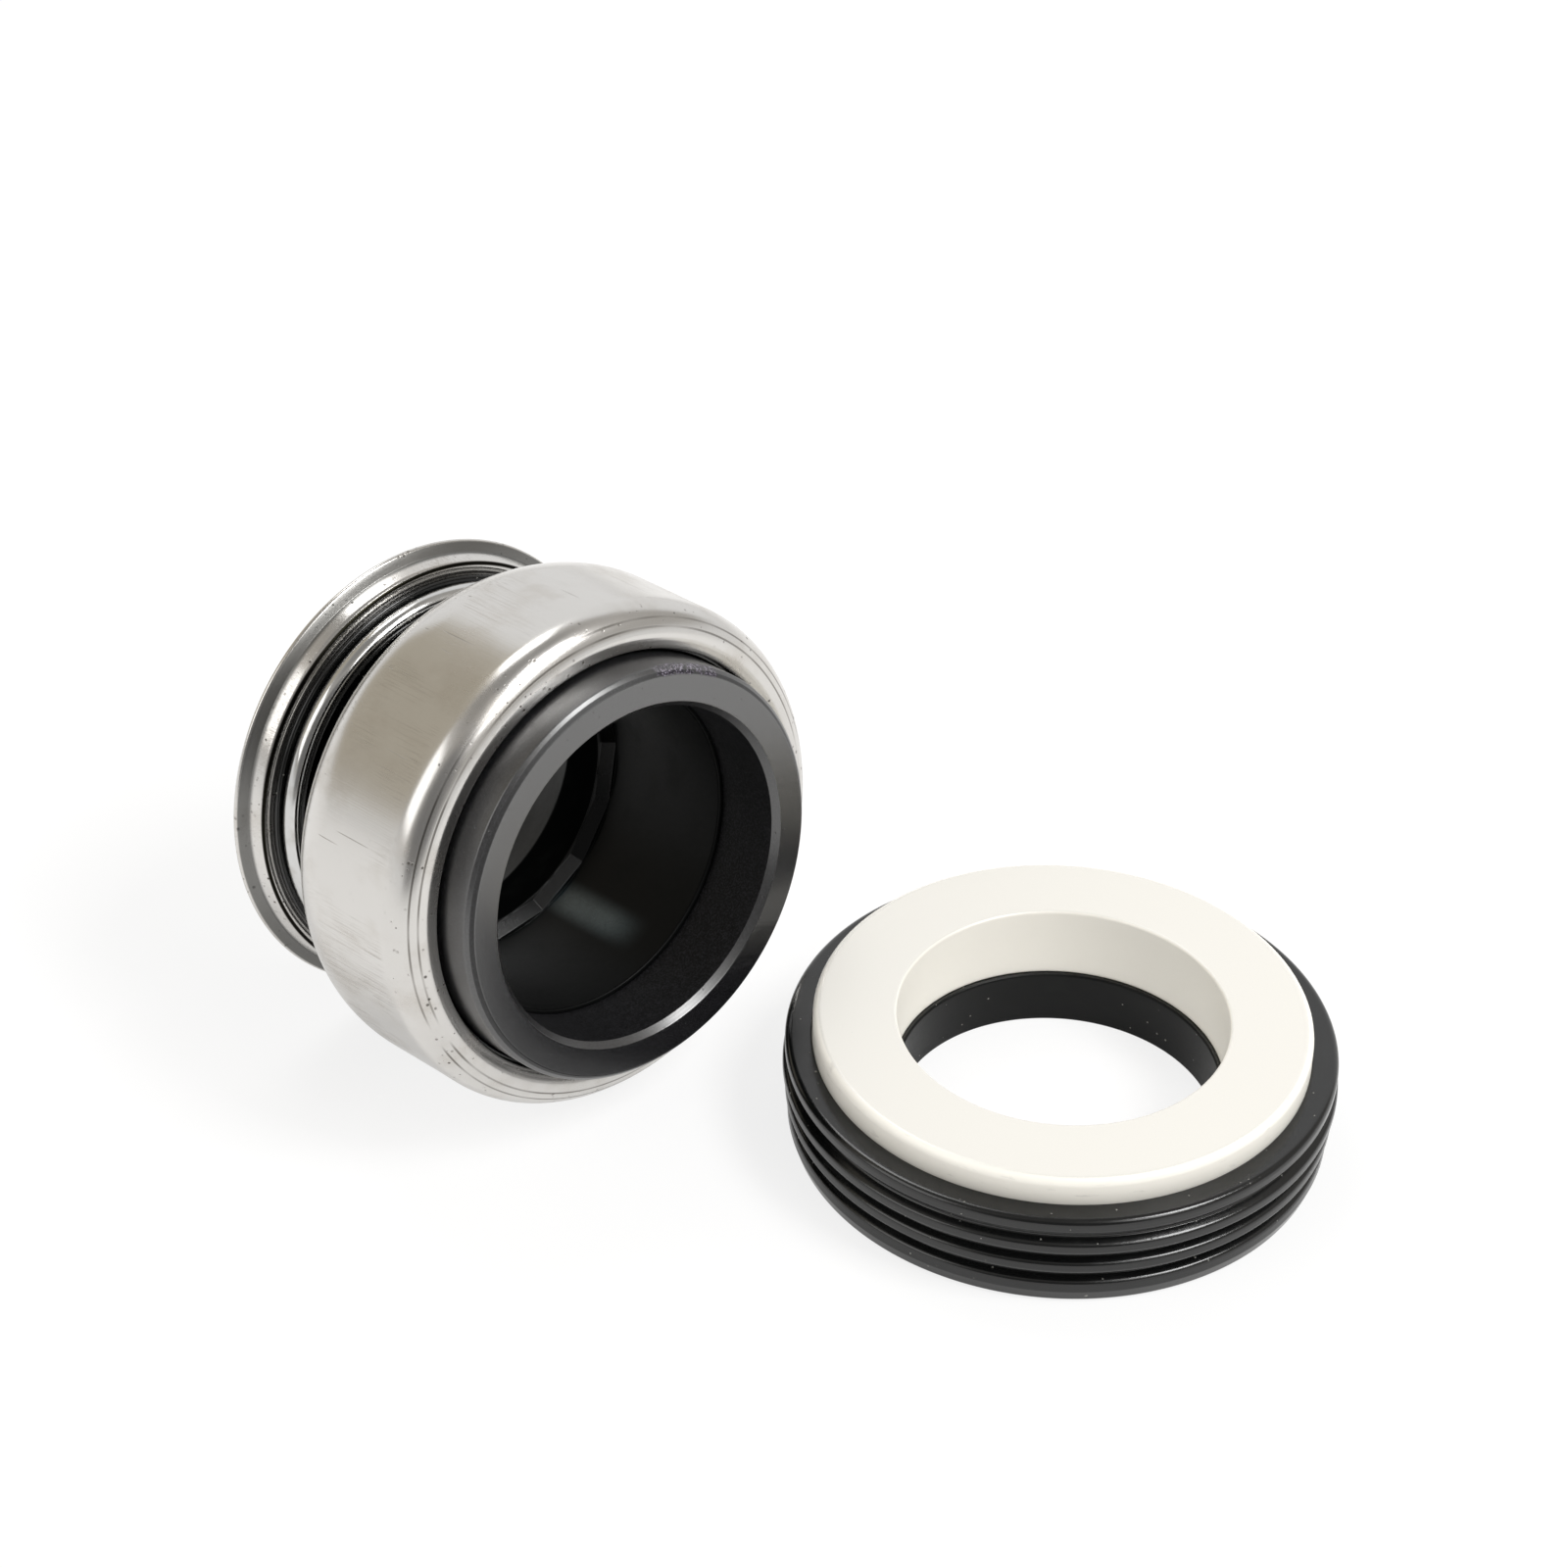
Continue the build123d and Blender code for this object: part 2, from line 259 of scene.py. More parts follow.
def bellows_shape():
    """Rubber bellows: socket, straight wall and gripping tail that wraps the retainer's web.

    A funnel of sixteen facets leads into the tail: there the bore's radius is a polygon's, its flat
    distance over the cosine of the angle from the middle of the nearest side. A pair of angles close
    to each corner keeps the facets' shading flat.
    """
    corners = [
        (NOSE_R + CARBON_GAP, -SOCKET_FRONT), (SOCKET_R, -SOCKET_FRONT),
        (SOCKET_R, -SHOULDER_BACK), (TAIL_R, -SHOULDER_BACK),
        (TAIL_R, -SPRING_BACK), (SKIRT_R, -SPRING_BACK), (SKIRT_R, -WEB_FRONT), (TAIL_R, -WEB_FRONT),
        (TAIL_R, -WEB_FRONT - RETAINER_SHEET), (FOOT_R, -WEB_FRONT - RETAINER_SHEET),
        (FOOT_R, -HEAD_LENGTH), (TAIL_BORE_R + 0.9, -HEAD_LENGTH), (TAIL_BORE_R, -19),
        (TAIL_BORE_R, -TAIL_STEP - FUNNEL_DEPTH), (FUNNEL_R, -TAIL_STEP), (WALL_BORE_R, -TAIL_STEP),
        (WALL_BORE_R, -CARBON_LENGTH - CARBON_GAP), (NOSE_R + CARBON_GAP, -CARBON_LENGTH - CARBON_GAP),
    ]
    radii = [
        0.1, 1.4, 0.3, 0.15, 0.12, 0.15, 0.02, 0.02, 0.1, 0.2,
        0.3, 0.2, 0.6, 0.08, 0.05, 0.03, 0.12, 0.05,
    ]
    side = 360 / FUNNEL_SIDES
    corner = FUNNEL_TURN + side * np.arange(FUNNEL_SIDES)[:, None] + np.array([-0.15, 0, 0.15])
    degrees = np.unique(np.concatenate([np.arange(0.25, 360), corner.ravel() % 360]))

    def facets(angle, radius, station):
        off = np.radians((np.degrees(angle) - FUNNEL_TURN) % side - side / 2)
        behind = station > -TAIL_STEP - FUNNEL_DEPTH + 0.02
        funnel = (radius < FUNNEL_R + 0.106) & behind & (station < -TAIL_STEP + 0.01)
        return np.where(funnel, radius / np.cos(off) - radius, 0)

    return turned("moulded_bellows", rounded(corners, radii), HEAD, None, ["bellows"], facets, degrees)


def retainer_shape():
    """Stamped retainer: flat web, raised bead, sloping collar and rim flange."""
    half = RETAINER_SHEET / 2
    web = -WEB_FRONT - half
    line = [
        (TAIL_R + 0.3, web), (13.25, web), (13.55, web + 0.15), (13.85, web), (14.15, web - 0.95),
        (15.0 - half, -HEAD_LENGTH + half),
    ]
    middle = rounded(line, 0.28, hold=0.02, closed=False)
    return turned("stamped_retainer", sheet(middle, half, half), HEAD, "tail", ["retainer"])


def spring_shape():
    """Coil spring: a round wire carried along a helix whose end turns flatten.

    The wire's height rises with the eased share of its active turns: speeding up over a quarter turn,
    even, and slowing down again. Its section is a circle across the path. Each end closes over three
    rings, whose share of the wire's radius and whose reach beyond the path's end are given.
    """
    active, end_turns, first, steps = 2.0, 0.5, np.radians(-70), 430
    turn = np.linspace(0, active + 2 * end_turns, steps)
    part = np.clip((turn - end_turns) / active, 0, 1)
    ease = end_turns / active / 2
    eased = np.where(part < ease, part**2 / (2 * ease), part - ease / 2)
    eased = np.where(part > 1 - ease, 1 - ease - (1 - part)**2 / (2 * ease), eased) / (1 - ease)
    height = -SPRING_BACK + WIRE_R + (SPRING_BACK - SHOULDER_BACK - 2 * WIRE_R) * eased
    angle = first + 2 * np.pi * turn
    path = np.stack([COIL_R * np.cos(angle), COIL_R * np.sin(angle), height], -1)
    ahead = unit(np.gradient(path, axis=0))
    outward = np.stack([np.cos(angle), np.sin(angle), np.zeros_like(angle)], -1)
    across = unit(np.cross(ahead, outward))
    around = np.linspace(0, 2 * np.pi, WIRE_POINTS, endpoint=False)[None, :, None]
    ring = np.cos(around) * outward[:, None] + np.sin(around) * across[:, None]
    ring = path[:, None] + WIRE_R * ring
    share = np.array([0.97, 0.84, 0.0])[:, None, None]
    reach = np.array([0.07, 0.1, 0.1])[:, None, None]
    start = path[0] + (ring[:1] - path[0]) * share[::-1] - ahead[0] * reach[::-1]
    stop = path[-1] + (ring[-1:] - path[-1]) * share + ahead[-1] * reach
    ring = np.concatenate([start, ring, stop])
    points = placed(HEAD, ring[..., 0], ring[..., 1], ring[..., 2])
    faces = grid_faces(len(ring), WIRE_POINTS, False, True)[:, ::-1]
    return mesh_piece("coil_spring", points, faces, None, "spring")


def ceramic_shape():
    """Seat ring of white ceramic."""
    corners = [
        (CERAMIC_BORE_R, CUP_FLOOR), (CERAMIC_R, CUP_FLOOR),
        (CERAMIC_R, CERAMIC_TOP), (CERAMIC_BORE_R, CERAMIC_TOP),
    ]
    outline = rounded(corners, [0.1, 0.1, 0.5, 0.2])
    return turned("ceramic_ring", outline, SEAT, "tail", ["ceramic_seat"])


def cup_shape():
    """Rubber cup: three round lips with grooves between them under a plain rim."""
    corners = [(16.8, 0)]
    radii = [0.3]
    for crest, middle in ((17.1, 1.25), (17.3, 2.93), (17.5, 4.61)):
        groove = crest - 0.6
        corners += [(crest, middle - 0.35), (crest, middle + 0.35)]
        corners += [(groove, middle + 0.64), (groove, middle + 1.04)]
        radii += [0.3, 0.3, 0.14, 0.14]
    corners += [
        (CUP_R, 5.94), (CUP_R, CUP_HEIGHT), (CERAMIC_R, CUP_HEIGHT), (CERAMIC_R, CUP_FLOOR),
        (CUP_BORE_R, CUP_FLOOR), (CUP_BORE_R, 0),
    ]
    radii += [0.2, 0.4, 0.1, 0.05, 0.15, 0.1]
    return turned("rubber_cup", rounded(corners, radii), SEAT, "tail", ["seat_cup"])


# The materials.

def linear(code):
    """A hex sRGB colour as linear red, green and blue, and an alpha of one."""
    value = np.array([int(code[i:i + 2], 16) for i in (1, 3, 5)]) / 255
    value = np.where(value <= 0.04045, value / 12.92, ((value + 0.055) / 1.055) ** 2.4)
    return (*value, 1.0)


# What each node does here: its kind, its own settings, the inputs that are filled and the output used.
NODES = {
    "point": ("ShaderNodeTexCoord", {}, (), "Object"),
    "ray": ("ShaderNodeTexCoord", {}, (), "Generated"),
    "camera ray": ("ShaderNodeLightPath", {}, (), "Is Camera Ray"),
    "glossy ray": ("ShaderNodeLightPath", {}, (), "Is Glossy Ray"),
    "transmission ray": ("ShaderNodeLightPath", {}, (), "Is Transmission Ray"),
    "home": ("ShaderNodeMapping", {"vector_type": "TEXTURE"}, range(4), 0),
    "height": ("ShaderNodeSeparateXYZ", {}, (0,), "Z"),
    "lathe": ("ShaderNodeCombineXYZ", {}, (0, 2), 0),
    "stretch": ("ShaderNodeVectorMath", {"operation": "MULTIPLY"}, (0, 1), "Vector"),
    "length": ("ShaderNodeVectorMath", {"operation": "LENGTH"}, (0,), "Value"),
    "distance": ("ShaderNodeVectorMath", {"operation": "DISTANCE"}, (0, 1), "Value"),
    "dot": ("ShaderNodeVectorMath", {"operation": "DOT_PRODUCT"}, (0, 1), "Value"),
    "sum": ("ShaderNodeMath", {"operation": "ADD"}, (0, 1), 0),
    "subtract": ("ShaderNodeMath", {"operation": "SUBTRACT"}, (0, 1), 0),
    "multiply": ("ShaderNodeMath", {"operation": "MULTIPLY"}, (0, 1), 0),
    "divide": ("ShaderNodeMath", {"operation": "DIVIDE"}, (0, 1), 0),
    "larger": ("ShaderNodeMath", {"operation": "MAXIMUM"}, (0, 1), 0),
    "below": ("ShaderNodeMath", {"operation": "LESS_THAN"}, (0, 1), 0),
    "size": ("ShaderNodeMath", {"operation": "ABSOLUTE"}, (0,), 0),
    "ease": ("ShaderNodeMapRange", {"interpolation_type": "SMOOTHSTEP"}, range(5), 0),
    "clamp": ("ShaderNodeClamp", {}, (0,), 0),
    "blobs": ("ShaderNodeTexNoise", {}, ("Vector", "Scale", "Detail", "Roughness"), 0),
    "cells": ("ShaderNodeTexVoronoi", {}, ("Vector", "Scale"), "Distance"),
    "colour parts": ("ShaderNodeSeparateColor", {}, (0,), 0),
    "mix": ("ShaderNodeMix", {"data_type": "RGBA"}, ("Factor", 6, 7), 2),
    "relief": ("ShaderNodeBump", {}, ("Height", "Distance", "Strength", "Normal"), 0),
    "paper": ("ShaderNodeBsdfDiffuse", {}, ("Color",), 0),
    "glow": ("ShaderNodeEmission", {}, ("Color", "Strength"), 0),
    "mix shaders": ("ShaderNodeMixShader", {}, (0, 1, 2), 0),
}


def add(tree, what, *values):
    """One new node from the table above: each value fills one of its inputs, and another node's output is
    linked to it. What comes back is the output that the table names."""
    kind, settings, inputs, output = NODES[what]
    node = tree.nodes.new(kind)
    for name, setting in settings.items():
        setattr(node, name, setting)
    for name, value in zip(inputs, values):
        if isinstance(value, bpy.types.NodeSocket):
            tree.links.new(value, node.inputs[name])
        else:
            node.inputs[name].default_value = value
    return node.outputs[output]


class Surface:
    """A new material whose patterns are laid out in the millimetres of its piece's home.

    place is the point in the home's upward, sideways and axis directions; radius and station come
    from it. add adds a node to this material. Every pattern below is a value between zero and one.
    """

    def __init__(self, name, home, **plain):
        self.material = bpy.data.materials.new(name)
        self.material.use_nodes = True
        self.tree = self.material.node_tree
        self.add = partial(add, self.tree)
        self.shader = self.tree.nodes["Principled BSDF"]
        origin, upward, side, axis = home
        turn = Matrix(np.stack([upward, side, axis], 1).tolist()).to_euler()
        self.place = self.add("home", self.add("point"), origin.tolist(), turn, (MM, MM, MM))
        self.radius = self.add("length", self.add("stretch", self.place, (1, 1, 0)))
        self.station = self.add("height", self.place)
        self.normal = None
        for name, value in plain.items():
            self.shader.inputs[name.replace("_", " ")].default_value = value

    def mottle(self, size, stretch=(1, 1, 1), detail=3.0, rough=0.55, at=None):
        """Soft mottling whose blobs are about size millimetres, stretched along the home's directions."""
        scaled = self.add("stretch", at or self.place, tuple(1 / (size * share) for share in stretch))
        return self.add("blobs", scaled, 1.0, detail, rough)

    def rings(self, size, detail=2.0):
        """Noise that depends on radius and station only: turning marks about size millimetres apart."""
        return self.mottle(size, detail=detail, at=self.add("lathe", self.radius, self.station))

    def specks(self, spacing, size, share):
        """Round specks of the given size, on a share of the cells that are about spacing wide."""
        away = self.add("cells", self.place, 1 / spacing)
        # A cell's random colour: its first part picks the cells, its second the size of the speck.
        own = self.add("colour parts", away.node.outputs["Color"]).node.outputs
        reach = self.both(self.add("ease", own[1], 0, 1, 0.4, 1.0), size / spacing)
        inside = self.add("ease", self.add("divide", away, reach), 1.0, 0.55)
        return self.both(inside, self.add("below", own[0], share))

    def near(self, value, middle, half, soft):
        """One within half of the middle, falling to zero over soft."""
        away = self.add("size", self.add("subtract", value, middle))
        return self.add("ease", away, half + soft, half)

    def spot(self, across, sideways, station, half, soft):
        """One within half millimetres of a point of the piece, falling to zero over soft."""
        away = self.add("distance", self.place, (across, sideways, station))
        return self.add("ease", away, half + soft, half)

    def both(self, *shares):
        """All shares multiplied."""
        result = shares[0]
        for share in shares[1:]:
            result = self.add("multiply", result, share)
        return result

    def tint(self, colours, start):
        """Colour that begins as start and is mixed towards each (share, hex) in turn."""
        value = linear(start)
        for share, code in colours:
            value = self.add("mix", share, value, linear(code))
        self.tree.links.new(value, self.shader.inputs["Base Color"])

    def feed(self, name, changes, start):
        """A shader value that begins as start, to which each (share, amount) adds."""
        value = start
        for share, amount in changes:
            value = self.add("sum", self.add("multiply", share, amount), value)
        self.tree.links.new(self.add("clamp", value), self.shader.inputs[name])

    def relief(self, height, depth):
        """Relief: height between zero and one, depth in millimetres."""
        before = (self.normal,) if self.normal else ()
        self.normal = self.add("relief", height, depth * MM, 1.0, *before)
        self.tree.links.new(self.normal, self.shader.inputs["Normal"])


def drawn_stainless():
    """Stainless sheet after deep drawing: satin, with lines along the draw and a few rings of the die."""
    s = Surface("drawn_stainless_sheet", HEAD, Metallic=1.0)
    barrel = s.add("ease", s.station, -4.4, -5.2)
    front = s.add("subtract", 1.0, barrel)
    # Lines of the draw, some millimetres long and denser in patches. Real ones are finer, about a
    # fiftieth of a millimetre; these are a twelfth apart, so that they show.
    draw = s.mottle(0.085, (1, 1, 46), 3.0)
    patch = s.add("ease", s.mottle(4.6, (1, 1, 1.5), 2.0), 0.44, 0.74)
    lines = s.both(s.add("ease", draw, 0.47, 0.66), patch, barrel)
    scratch = s.both(s.add("ease", s.mottle(0.16, (1, 1, 34), 1.0), 0.73, 0.77), barrel)
    # Rings that the die leaves on shoulder and mouth, drawn coarser so that they show, and two thin rings
    # that come and go round the case, sunk a little and painted dark: painted shade where the shoulder
    # bends.
    die = s.rings(0.16)
    dark_shoulder_rings = s.add("larger", s.near(s.radius, 15.36, 0.03, 0.06), s.near(s.radius, 15.86, 0.025, 0.05))
    broken = s.add("ease", s.mottle(5.0, detail=1.0), 0.3, 0.6)
    dark_shoulder_rings = s.both(dark_shoulder_rings, s.add("ease", s.station, -3.6, -3.2), broken)
    # Smudges of handling, several millimetres wide, that dull the shine.
    smudge = s.add("ease", s.mottle(4.2, (1, 1, 1.4), 4.0, 0.6), 0.46, 0.8)
    # Shallow pits, mostly by the shoulder and the cut back edge.
    edges = s.add("larger", s.add("ease", s.station, -4.6, -3.0), s.add("ease", s.station, -13.3, -13.7))
    crowded = s.add("ease", s.mottle(1.4, detail=2.0), 0.45, 0.6)
    pits = s.both(s.specks(0.4, 0.14, 0.5), crowded, s.add("ease", edges, 0, 1, 0.05, 1.0))
    # The cut back edge of the case: a narrow dull band with torn grain.
    cut = s.both(s.near(s.station, -13.86, 0.22, 0.1), s.add("ease", s.radius, 14.6, 15.0))
    torn = s.add("ease", s.mottle(0.16, detail=2.0), 0.4, 0.66)
    # Painted shade: the retainer's flange is painted darker than its web, standing in for the dark it
    # mirrors, and its crease is painted near black as shade.
    flange = s.both(s.add("ease", s.station, -20.95, -21.25), s.add("ease", s.radius, 14.95, 14.85))
    crease = s.both(s.near(s.radius, 13.86, 0.07, 0.07), s.near(s.station, -20.36, 0.16, 0.08))
    s.tint([
        (s.both(smudge, 0.4), "#a59c8f"), (s.both(lines, 0.42), "#857d73"),
        # painted shade: the two thin dark rings on the shoulder
        (s.both(scratch, 0.5), "#6d675f"), (s.both(dark_shoulder_rings, 0.75), "#544f48"),
        # painted shade: the flange's darker grey, and on the next line the crease's near black
        (s.both(pits, 0.8), "#433e37"), (s.both(flange, 0.85), "#5f5f5d"),
        (s.both(cut, 0.8), "#d9d8d4"), (s.both(cut, torn, 0.4), "#6d6963"), (crease, "#15140f"),
    ], "#cfcdca")
    s.feed("Roughness", [
        (draw, 0.08), (smudge, 0.1), (lines, 0.1), (pits, 0.2), (cut, 0.28), (flange, 0.12),
        (s.both(die, front), 0.06),
    ], 0.15)
    s.relief(s.both(draw, barrel), 0.003)
    s.relief(s.both(die, front), 0.0022)
    sunk = s.add("larger", s.add("larger", pits, scratch), dark_shoulder_rings)
    s.relief(s.add("subtract", 1.0, sunk), 0.006)
    s.relief(s.both(cut, torn), 0.01)
    return s.material


def drawn_wire():
    """Spring wire pulled through a die: bright, with fine lines and small nicks from coiling."""
    s = Surface("drawn_spring_wire", HEAD, Metallic=1.0)
    # Lines of the die: they run round with the coil, so they are longer across the head than along it.
    fine = s.mottle(0.09, (4, 4, 1), 3.0)
    nicks = s.specks(0.9, 0.12, 0.18)
    film_and_painted_reflection = s.add("ease", s.mottle(1.5, detail=3.0), 0.48, 0.7)
    s.tint([(s.both(film_and_painted_reflection, 0.3), "#9c968c"), (s.both(nicks, 0.7), "#57524b")], "#c9c9c8")
    s.feed("Roughness", [(fine, 0.08), (film_and_painted_reflection, 0.1), (nicks, 0.25)], 0.09)
    s.relief(fine, 0.0014)
    s.relief(s.add("subtract", 1.0, nicks), 0.012)
    return s.material


def lapped_carbon():
    """Resin-filled carbon graphite: a lapped face with fine grain, turned sides, a chipped nose edge."""
    s = Surface("lapped_carbon_graphite", HEAD, IOR=2.2)
    face = s.add("ease", s.station, -0.04, -0.015)
    side = s.add("subtract", 1.0, face)
    # Grain of the pressed carbon, a faint mottling on the lapped face, drawn at an eighth of a
    # millimetre so that it shows, and cloudiness ten times as wide.
    grain = s.mottle(0.13, detail=4.0, rough=0.65)
    cloud = s.mottle(1.3, detail=3.0)
    # Pores, open where the face was lapped through them.
    pores = s.specks(0.5, 0.075, 0.35)
    # Turning marks on nose, bevel and bore, an eighth of a millimetre apart.
    marks = s.rings(0.12)
    # Where the nose edge is chipped and has lost its shine.
    crumbs = s.mottle(0.15, detail=4.0, rough=0.75)
    chipped = s.add("larger", s.spot(12.6, -4.9, -0.3, 1.6, 0.8), s.spot(11.6, -6.9, -0.3, 0.5, 0.6))
    patchy = s.add("ease", s.mottle(0.5, detail=3.0), 0.36, 0.5)
    edge = s.both(s.add("ease", s.radius, 13.05, 13.2), s.add("ease", s.station, -0.95, -0.6))
    chipped = s.both(chipped, patchy, edge)
    # The lapped face breaks away in fine crumbs where it meets the bevel; that line is also painted
    # darker, painted shade for the dark that the rounded edge mirrors.
    crumbled_edge_painted_dark = s.both(s.near(s.radius, 13.2, 0.05, 0.08), s.add("ease", s.station, -0.3, -0.12))
    crumbled_edge_painted_dark = s.both(crumbled_edge_painted_dark, s.add("ease", crumbs, 0.4, 0.55))
    # The inner half of the bevel is rougher than the outer, and the bore's wall is dull.
    rough = s.both(s.near(s.radius, 13.25, 0.09, 0.05), s.add("ease", s.station, -0.4, -0.3))
    bore = s.add("ease", s.radius, 11.03, 11.005)
    # The face's shine fades from its top to its foot.
    faded = s.both(face, s.add("ease", s.add("dot", s.place, (1, 0, 0)), 7, -12))
    s.tint([
        (s.add("ease", grain, 0.42, 0.66, 0, 0.8), "#2c2c2f"),
        (s.add("ease", cloud, 0.5, 0.75, 0, 0.35), "#242426"),
        # painted shade: the crumbled line where the face meets the bevel is darkened
        (s.both(pores, 0.8), "#050505"), (s.both(crumbled_edge_painted_dark, 0.7), "#060606"),
        (s.both(chipped, 0.9), "#2b282e"),
        (s.both(chipped, s.add("ease", crumbs, 0.5, 0.6)), "#8b8592"),
    ], "#0f0f10")
    s.feed("Roughness", [
        (side, 0.07), (grain, 0.1), (s.both(marks, side), 0.1), (chipped, 0.2), (bore, 0.2),
        (rough, 0.25),
    ], 0.15)
    s.feed("Specular IOR Level", [
        (bore, -0.36), (side, -0.1), (rough, -0.22), (chipped, -0.15), (faded, -0.32),
    ], 0.5)
    s.relief(s.both(marks, side), 0.004)
    s.relief(grain, 0.0012)
    sunk = s.add("larger", s.both(pores, 0.4), s.both(chipped, crumbs))
    s.relief(s.add("subtract", 1.0, sunk), 0.06)
    return s.material


def moulded_rubber(name, home, inside):
    """Moulded black rubber: dull skin copied from the mould, fine dust and a little bloom.

    inside is one on the bellows, with its funnel and the glossy streak of painted reflection in its bore,
    and zero on the cup.
    """
    s = Surface(name, home)
    # The mould's spark-eroded skin: two grains, a quarter and a fifteenth of a millimetre.
    skin = s.mottle(0.26, detail=3.0)
    fine = s.mottle(0.07, detail=2.0)
    dust = s.add("larger", s.specks(0.55, 0.085, 0.3), s.specks(1.3, 0.13, 0.2))
    bloom = s.add("ease", s.mottle(3.1, (1, 1, 0.6), 3.0), 0.5, 0.74)
    # The bore is duller than the outside: the bellows' behind its carbon, the cup's all through.
    bore = s.both(s.add("ease", s.radius, 11.35, 11.2), inside)
    hole = s.add("ease", s.radius, 10.35, 10.2, 0, 1 - inside)
    tail = s.both(bore, s.near(s.station, -17.5, 1.35, 0.3))
    # A glossier streak along the bore, on one side only; its pale blue-green colour is a painted
    # reflection.
    sideways = s.add("dot", s.place, (0.438, -0.899, 0))
    down = s.add("dot", s.place, (-0.899, -0.438, 0))
    streak = s.both(s.near(sideways, 0, 0.1, 1.5), s.add("ease", down, 5, 7))
    film_and_painted_reflection = s.both(streak, s.near(s.station, -12.2, 1.4, 4.0), s.add("ease", s.station, -15.4, -15.1))
    film_and_painted_reflection = s.both(film_and_painted_reflection, s.add("ease", skin, 0.2, 0.6, 0.75, 1.0), inside)
    dust = s.both(dust, s.add("subtract", 1.0, bore))
    funnel = s.both(s.near(s.station, -15.66, 0.36, 0.04), bore)
    s.tint([
        # painted reflection: the streak's pale blue-green
        (s.both(bloom, 0.3), "#161817"), (s.both(dust, 0.7), "#9b9a94"), (s.both(film_and_painted_reflection, 0.9), "#35454a"),
    ], "#070808")
    s.feed("Roughness", [
        (skin, 0.1), (bloom, 0.08), (bore, 0.3), (film_and_painted_reflection, -0.25), (funnel, -0.24), (hole, 0.2),
    ], 0.13)
    s.feed("Specular IOR Level", [
        (bore, -0.47), (film_and_painted_reflection, 0.5), (funnel, 0.1), (tail, -0.15), (hole, -0.42),
    ], 0.6)
    s.relief(skin, 0.0035)
    s.relief(fine, 0.0016)
    s.relief(dust, 0.03)
    return s.material


def ground_alumina():
    """Sintered white alumina: a ground and lapped face, duller as-fired sides painted lighter as painted
    light, faint grey rub marks.
    """
    s = Surface("ground_alumina", SEAT, IOR=1.76)
    # Grain of the sintered powder and rings of the grinding, both drawn much coarser so that they show.
    grain = s.mottle(0.12, detail=3.0)
    ground = s.rings(0.14)
    # Painted light: the face is coloured greyer and the sides lighter than the ceramic's own white,
    # evening out the lamp light that falls far more on the face.
    sides = s.add("ease", s.station, CERAMIC_TOP - 0.01, CERAMIC_TOP - 0.06)
    # Grey rub marks of metal on the outer round, and a few specks fired into the surface.
    rub = s.add("ease", s.mottle(0.7, (2.2, 2.2, 0.5), 3.0), 0.60, 0.74)
    rub = s.both(rub, s.add("ease", s.radius, 15.2, 15.45))
    specks = s.specks(1.9, 0.07, 0.2)
    s.tint([
        (s.both(sides, 0.85), "#faf7ee"), (s.both(grain, 0.2), "#efece4"),
        (s.both(rub, 0.35), "#bdbab4"), (s.both(specks, 0.4), "#98928a"),
    ], "#dedcd6")
    s.feed("Roughness", [(sides, 0.16), (grain, 0.1), (rub, 0.1)], 0.2)
    s.relief(grain, 0.0015)
    s.relief(s.both(ground, sides), 0.002)
    return s.material


steel = drawn_stainless()
wire = drawn_wire()
carbon = lapped_carbon()
head_rubber = moulded_rubber("moulded_bellows_rubber", HEAD, 1.0)
seat_rubber = moulded_rubber("moulded_cup_rubber", SEAT, 0.0)
alumina = ground_alumina()

# The pieces.

carbon_piece = carbon_shape()
case_piece = case_shape()
bellows_piece = bellows_shape()
retainer_piece = retainer_shape()
spring_piece = spring_shape()
ceramic_piece = ceramic_shape()
cup_piece = cup_shape()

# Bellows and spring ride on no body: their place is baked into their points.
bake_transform(bellows_piece)
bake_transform(spring_piece)

for piece, material, slot in (
    (carbon_piece, carbon, "carbon"), (case_piece, steel, "steel_sheet"),
    (bellows_piece, head_rubber, "black_rubber"), (retainer_piece, steel, "steel_sheet"),
    (spring_piece, wire, "spring_steel"),
    (ceramic_piece, alumina, "alumina"), (cup_piece, seat_rubber, "black_rubber"),
):
    piece.data.materials.append(material)
for node, material in (
    ("carbon_ring", carbon), ("case_shell", steel), ("bellows", head_rubber), ("retainer", steel),
    ("spring", wire), ("ceramic_seat", alumina), ("seat_cup", seat_rubber),
):
    cad = frame["nodes"][node].data.materials
    cad.clear()
    cad.append(material)

# The studio: the picture and the focal length in pixels, the sensor and the seat's place in
# millimetres, angles in degrees, and the lamps' aim and distance in metres.

PHOTO_PIXELS = 1600
FOCAL_PIXELS = 5000
SENSOR = 36
TILT = 36.65
ROLL = 1.86
SEAT_AT = (17.28, 21.39, 311.85)
LAMP_AIM = (-0.012, 0, 0.01)
LAMP_DISTANCE = 0.6
UP = np.array([0, 0, 1.0])
# How much of the table shows as plain white, seen directly and in a glossy piece.
WHITE_SEEN = 0.8
WHITE_MIRRORED = 0.45


def direction(azimuth, elevation):
    """Unit vector by compass: azimuth zero is straight away from the camera, ninety is to its right."""
    turn, lift = np.radians(azimuth), np.radians(elevation)
    return np.array([np.sin(turn) * np.cos(lift), np.cos(turn) * np.cos(lift), np.sin(lift)])


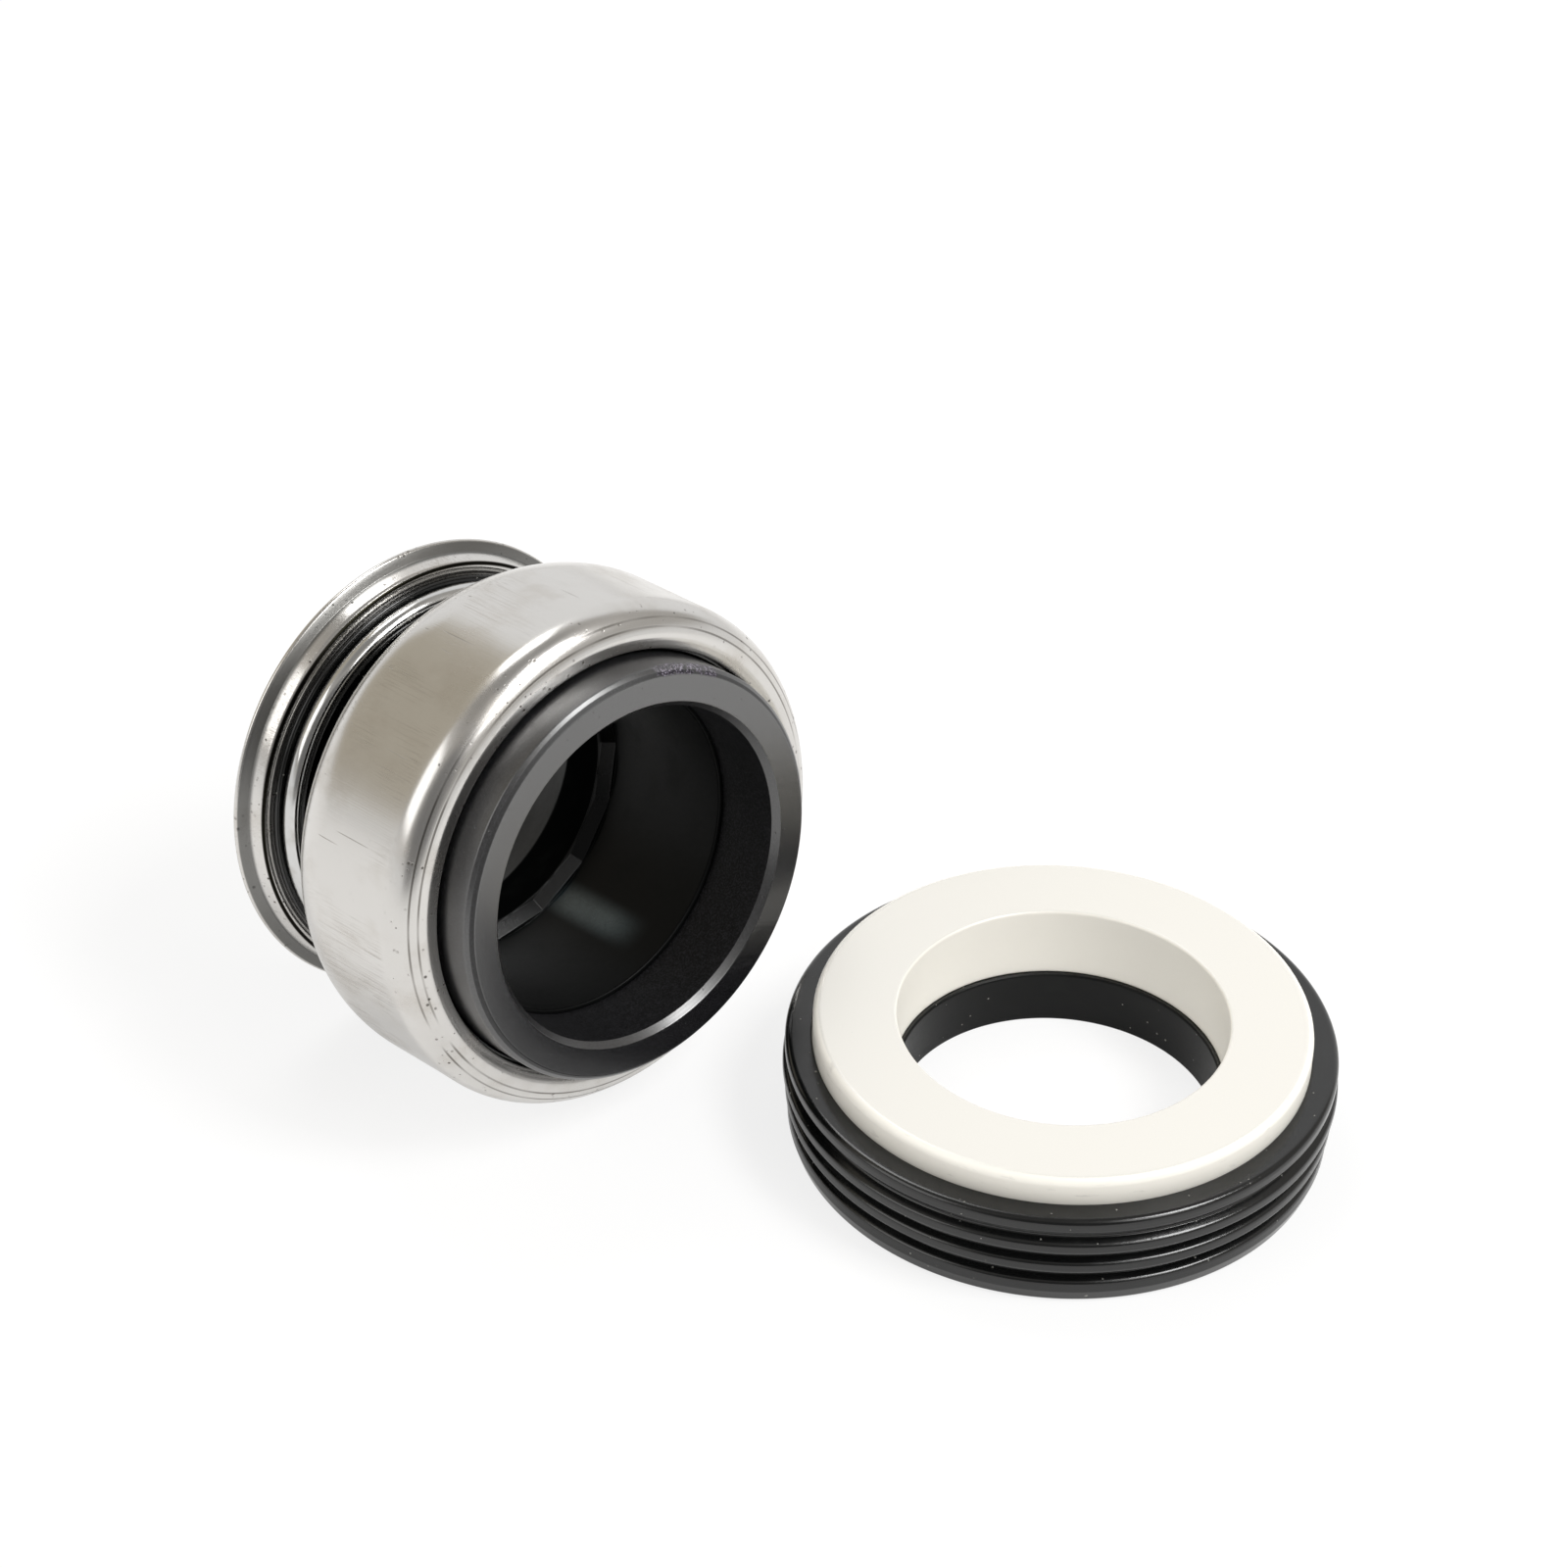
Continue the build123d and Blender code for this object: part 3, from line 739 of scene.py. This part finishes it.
def set_camera():
    """The photograph's camera: where it sees the seat's base, its tilt, roll and focal length.

    The centre of the seat's base lies SEAT_AT millimetres right of, below and ahead of the lens. The
    focal length in pixels, times the sensor's width over the picture's, is the lens in millimetres.
    """
    tilt, roll = np.radians(TILT), np.radians(ROLL)
    ahead = direction(0, -TILT)
    level_up = np.array([0, np.sin(tilt), np.cos(tilt)])
    right = np.cos(roll) * np.array([1, 0, 0]) + np.sin(roll) * level_up
    above = np.cos(roll) * level_up - np.sin(roll) * np.array([1, 0, 0])
    camera = bpy.data.objects.new("camera", bpy.data.cameras.new("camera"))
    camera.data.sensor_width = SENSOR
    camera.data.lens = FOCAL_PIXELS * SENSOR / PHOTO_PIXELS
    camera.data.clip_start = 0.01
    place = -(right * SEAT_AT[0] - above * SEAT_AT[1] + ahead * SEAT_AT[2]) * MM
    turn = Matrix(np.stack([right, above, -ahead], 1).tolist()).to_4x4()
    camera.matrix_world = Matrix.Translation(Vector(place)) @ turn
    bpy.context.scene.collection.objects.link(camera)
    bpy.context.scene.camera = camera


def soft_box(name, azimuth, elevation, width, brightness):
    """A square lamp aimed at the object; brightness is how bright its face looks, white being one."""
    light = bpy.data.lights.new(name, "AREA")
    light.shape = "SQUARE"
    light.size = width
    light.energy = brightness * np.pi * width**2
    lamp = bpy.data.objects.new(name, light)
    toward = Vector(direction(azimuth, elevation))
    lamp.location = Vector(LAMP_AIM) + toward * LAMP_DISTANCE
    lamp.rotation_euler = toward.to_track_quat("Z", "Y").to_euler()
    bpy.context.scene.collection.objects.link(lamp)


def set_world():
    """A grey room round a white backdrop; the camera sees white everywhere.

    The room's tone is mixed from the cosine between its direction and each patch's middle: the later
    a patch, the more it covers.
    """
    world = bpy.data.worlds.new("studio")
    bpy.context.scene.world = world
    world.use_nodes = True
    tree = world.node_tree
    toward = add(tree, "ray")
    white = linear("#ffffff")
    tone = white
    patches = (
        # Above the horizon the room is grey.
        (UP, 0.03, 0.26, "#bbb8b3"),
        # A warmer wall on the left, behind the head.
        (direction(-58, 27), 0.74, 0.92, "#c2bbac"),
        # The ceiling and the side behind the camera are darker.
        (UP, 0.84, 0.94, "#9f9d9a"),
        (direction(180, 22), 0.80, 0.93, "#828180"),
        # The lit backdrop.
        (direction(8, 14), 0.74, 0.82, "#ffffff"),
    )
    for aim, low, high, code in patches:
        share = add(tree, "ease", add(tree, "dot", toward, aim.tolist()), low, high)
        tone = add(tree, "mix", share, tone, linear(code))
    seen = add(tree, "mix", add(tree, "camera ray"), tone, white)
    background = tree.nodes["Background"]
    tree.links.new(seen, background.inputs["Color"])
    background.inputs["Strength"].default_value = 1.0


def set_floor():
    """White table: the camera sees it mostly as plain white, and glossy pieces see it as about half so.
    The rest is the light that falls on it, so that the object's shadow stays."""
    size = 3.0
    corners = np.array([(-size, -size, 0), (size, -size, 0), (size, size, 0), (-size, size, 0)])
    mesh = bpy.data.meshes.new("table")
    mesh.from_pydata(corners, [], [(0, 1, 2, 3)])
    floor = bpy.data.objects.new("table", mesh)
    bpy.context.scene.collection.objects.link(floor)
    material = bpy.data.materials.new("white_table")
    material.use_nodes = True
    tree = material.node_tree
    tree.nodes.remove(tree.nodes["Principled BSDF"])
    paper = add(tree, "paper", linear("#ffffff"))
    glow = add(tree, "glow", linear("#ffffff"), 1.0)
    glossy = add(tree, "glossy ray")
    seen = add(tree, "larger", add(tree, "camera ray"), glossy)
    seen = add(tree, "larger", seen, add(tree, "transmission ray"))
    share = add(tree, "ease", glossy, 0, 1, WHITE_SEEN, WHITE_MIRRORED)
    surface = add(tree, "mix shaders", add(tree, "multiply", seen, share), paper, glow)
    tree.links.new(surface, tree.nodes["Material Output"].inputs["Surface"])
    mesh.materials.append(material)


set_camera()
set_world()
set_floor()
soft_box("key_light", 112, 56, 0.2, 16.0)
soft_box("side_light", 135, 45, 0.22, 3.5)
soft_box("back_light", -26, 58, 0.22, 4.0)
soft_box("fill_light", -118, 34, 0.34, 1.6)
bpy.context.scene.view_settings.view_transform = "Standard"
